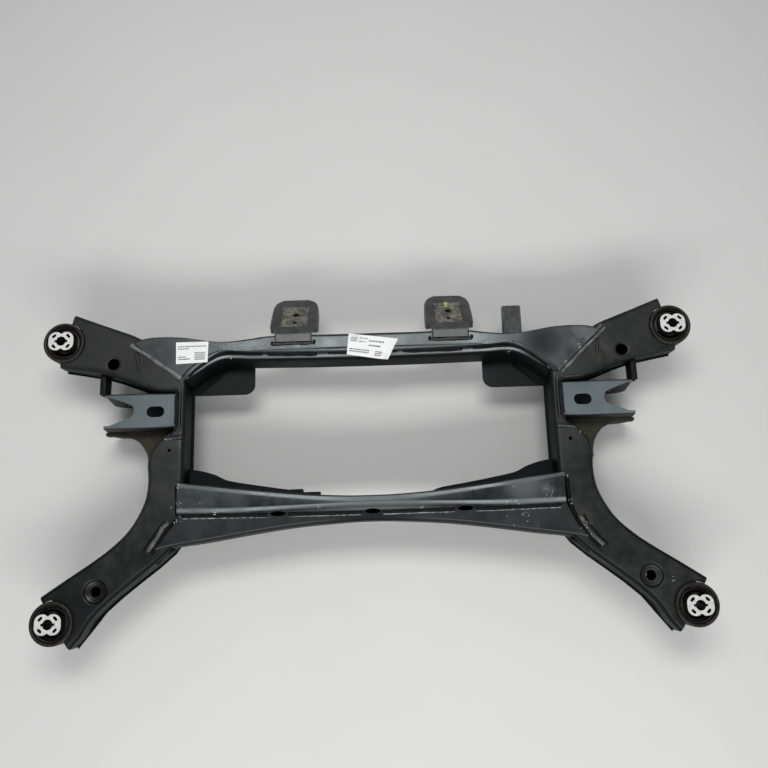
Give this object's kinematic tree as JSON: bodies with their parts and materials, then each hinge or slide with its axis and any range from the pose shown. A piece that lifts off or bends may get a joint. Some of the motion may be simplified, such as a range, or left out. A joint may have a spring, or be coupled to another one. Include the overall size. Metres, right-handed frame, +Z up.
{
  "type": "subframe",
  "caption": "Pressed and welded steel axle subframe with two crossmembers, link brackets and four voided rubber mounting bushes.",
  "frame": {"origin": "middle of the base that the part rests on", "axes": "+X across the axle towards the part's right side in plan, +Y towards the crossmember with the two mount brackets, +Z up out of the bush cores"},
  "size_m": [1.131, 0.5984, 0.1495],
  "materials": {
    "black_coat": "satin",
    "satin_coat": "satin",
    "dusty_coat": "matte",
    "bush_rubber": "matte",
    "sleeve_steel": "satin",
    "core_aluminium": "satin"
  },
  "bodies": {
    "root": {"side_member_top_l": "black_coat", "side_member_base_l": "black_coat", "link_bracket_l": "satin_coat", "link_strut_l": "black_coat", "link_gusset_l": "black_coat", "rear_link_bracket_l": "black_coat", "front_link_bracket_l": "black_coat", "mount_bracket_l": "dusty_coat", "mount_nut_l": "black_coat", "side_member_top_r": "black_coat", "side_member_base_r": "black_coat", "link_bracket_r": "satin_coat", "link_strut_r": "black_coat", "link_gusset_r": "black_coat", "rear_link_bracket_r": "black_coat", "front_link_bracket_r": "black_coat", "mount_bracket_r": "dusty_coat", "mount_nut_r": "black_coat", "rear_crossmember_top": "satin_coat", "rear_crossmember_base": "black_coat", "front_crossmember_top": "satin_coat", "front_crossmember_base": "black_coat", "hanger_bracket": "satin_coat", "bush_housing_rear_l": "black_coat", "bush_sleeve_rear_l": "sleeve_steel", "bush_rubber_rear_l": "bush_rubber", "bush_core_rear_l": "core_aluminium", "bush_housing_rear_r": "black_coat", "bush_sleeve_rear_r": "sleeve_steel", "bush_rubber_rear_r": "bush_rubber", "bush_core_rear_r": "core_aluminium", "bush_housing_front_l": "black_coat", "bush_sleeve_front_l": "sleeve_steel", "bush_rubber_front_l": "bush_rubber", "bush_core_front_l": "core_aluminium", "bush_housing_front_r": "black_coat", "bush_sleeve_front_r": "sleeve_steel", "bush_rubber_front_r": "bush_rubber", "bush_core_front_r": "core_aluminium"}
  },
  "joints": []
}
